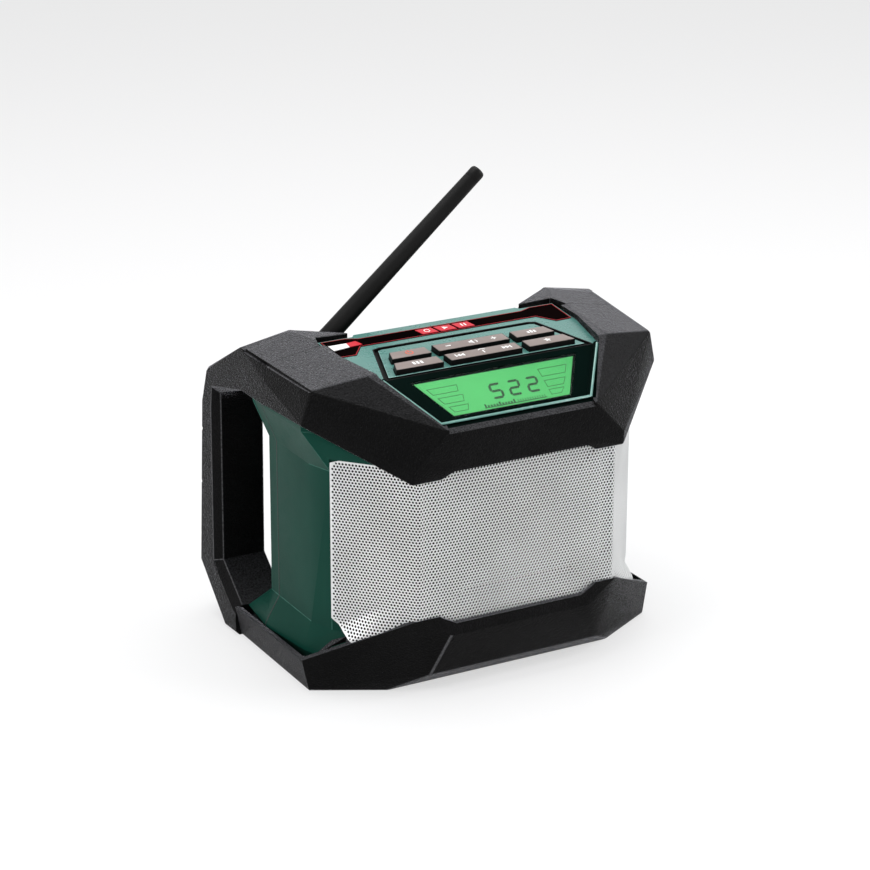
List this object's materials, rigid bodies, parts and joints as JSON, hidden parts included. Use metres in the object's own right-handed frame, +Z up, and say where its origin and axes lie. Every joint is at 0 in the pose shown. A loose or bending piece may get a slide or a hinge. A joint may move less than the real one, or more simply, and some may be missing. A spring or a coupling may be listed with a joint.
{
  "type": "jobsite radio",
  "caption": "Rugged jobsite radio: green housing in a black rubber roll cage with side grips, wrapped perforated grille, sloping lit display, keys, tilting whip antenna and slide-on battery.",
  "frame": {"origin": "centre of the footprint box, on the ground under the base bumper", "axes": "+X to the right seen from the front, +Y towards the battery at the back, +Z up"},
  "size_m": [0.252, 0.2, 0.293],
  "materials": {
    "green_plastic": "moulded, fine grain",
    "teal_plastic": "moulded, satin",
    "black_rubber": "moulded, pebbled",
    "grille_metal": "silver paint, perforated",
    "dust_cloth": "woven, black",
    "black_plastic": "moulded",
    "bezel_plastic": "polished",
    "key_plastic": "moulded, satin",
    "lens_glass": "clear",
    "lcd_green": "lit display",
    "white_plastic": "diffuser",
    "strip_black": "printed film",
    "red_plastic": "moulded",
    "board_green": "circuit board",
    "steel": "plain",
    "aluminium": "extruded",
    "contact_brass": "plated",
    "cone_paper": "coated paper",
    "magnet_iron": "plated",
    "cell_wrap": "shrink wrap"
  },
  "bodies": {
    "radio": {"front_housing": "green_plastic", "rear_housing": "green_plastic", "housing_seal": "black_rubber", "top_plate": "teal_plastic", "display_bezel": "bezel_plastic", "display_lens": "lens_glass", "lcd_panel": "lcd_green", "backlight": "white_plastic", "keypad_mat": "black_rubber", "control_board": "board_green", "accent_strip": "strip_black", "accent_tiles": "red_plastic", "top_bumper": "black_rubber", "base_bumper": "black_rubber", "left_grip": "black_rubber", "right_grip": "black_rubber", "grille": "grille_metal", "grille_cloth": "dust_cloth", "speaker_gaskets": "black_rubber", "left_speaker_frame": "steel", "left_speaker_cone": "cone_paper", "left_speaker_magnet": "magnet_iron", "right_speaker_frame": "steel", "right_speaker_cone": "cone_paper", "right_speaker_magnet": "magnet_iron", "main_board": "board_green", "heat_sink": "aluminium", "antenna_bracket": "black_plastic", "antenna_pin": "steel", "battery_dock": "black_plastic", "dock_terminals": "contact_brass", "aux_jack": "black_plastic", "dc_jack": "black_plastic", "port_pin": "steel", "housing_screws": "steel", "grip_screws": "steel"},
    "power_key": {"power_key": "key_plastic"},
    "mode_key": {"mode_key": "key_plastic"},
    "eq_key": {"eq_key": "key_plastic"},
    "station_key": {"station_key": "key_plastic"},
    "channel_rocker": {"channel_rocker": "key_plastic"},
    "volume_rocker": {"volume_rocker": "key_plastic"},
    "antenna": {"antenna_knuckle": "black_plastic", "antenna_whip": "black_rubber", "antenna_tip": "black_rubber"},
    "battery": {"battery_case": "green_plastic", "battery_lid": "black_plastic", "battery_cells": "cell_wrap", "battery_board": "board_green"},
    "latch": {"battery_latch": "red_plastic"},
    "flap": {"port_flap": "black_rubber"}
  },
  "joints": [
    {"name": "power_press", "type": "slide", "parent": "radio", "child": "power_key", "axis": [0, 0.0872, -0.9962], "range_m": [0, 0.0008], "stiffness_N_per_m": 800, "springref_m": -0.0008},
    {"name": "mode_press", "type": "slide", "parent": "radio", "child": "mode_key", "axis": [0, 0.0872, -0.9962], "range_m": [0, 0.0008], "stiffness_N_per_m": 800, "springref_m": -0.0008},
    {"name": "eq_press", "type": "slide", "parent": "radio", "child": "eq_key", "axis": [0, 0.0872, -0.9962], "range_m": [0, 0.0008], "stiffness_N_per_m": 800, "springref_m": -0.0008},
    {"name": "station_press", "type": "slide", "parent": "radio", "child": "station_key", "axis": [0, 0.0872, -0.9962], "range_m": [0, 0.0008], "stiffness_N_per_m": 800, "springref_m": -0.0008},
    {"name": "channel_rock", "type": "hinge", "parent": "radio", "child": "channel_rocker", "pos_m": [0, -0.05028, 0.19488], "axis": [0, 0.9962, 0.0872], "range_deg": [-1.8, 1.8], "stiffness_Nm_per_rad": 0.5},
    {"name": "volume_rock", "type": "hinge", "parent": "radio", "child": "volume_rocker", "pos_m": [0, -0.03484, 0.19623], "axis": [0, 0.9962, 0.0872], "range_deg": [-1.8, 1.8], "stiffness_Nm_per_rad": 0.5},
    {"name": "antenna_tilt", "type": "hinge", "parent": "radio", "child": "antenna", "pos_m": [-0.076, 0.032, 0.187], "axis": [0, 1, 0], "range_deg": [-48, 39.2]},
    {"name": "battery_slide", "type": "slide", "parent": "radio", "child": "battery", "axis": [0, 0, 1], "range_m": [0, 0.1]},
    {"name": "latch_press", "type": "slide", "parent": "battery", "child": "latch", "axis": [0, -1, 0], "range_m": [0, 0.001], "stiffness_N_per_m": 1500, "springref_m": -0.001},
    {"name": "flap_swing", "type": "hinge", "parent": "radio", "child": "flap", "pos_m": [0.066, 0.0487, 0.0605], "axis": [-1, 0, 0], "range_deg": [0, 110]}
  ]
}
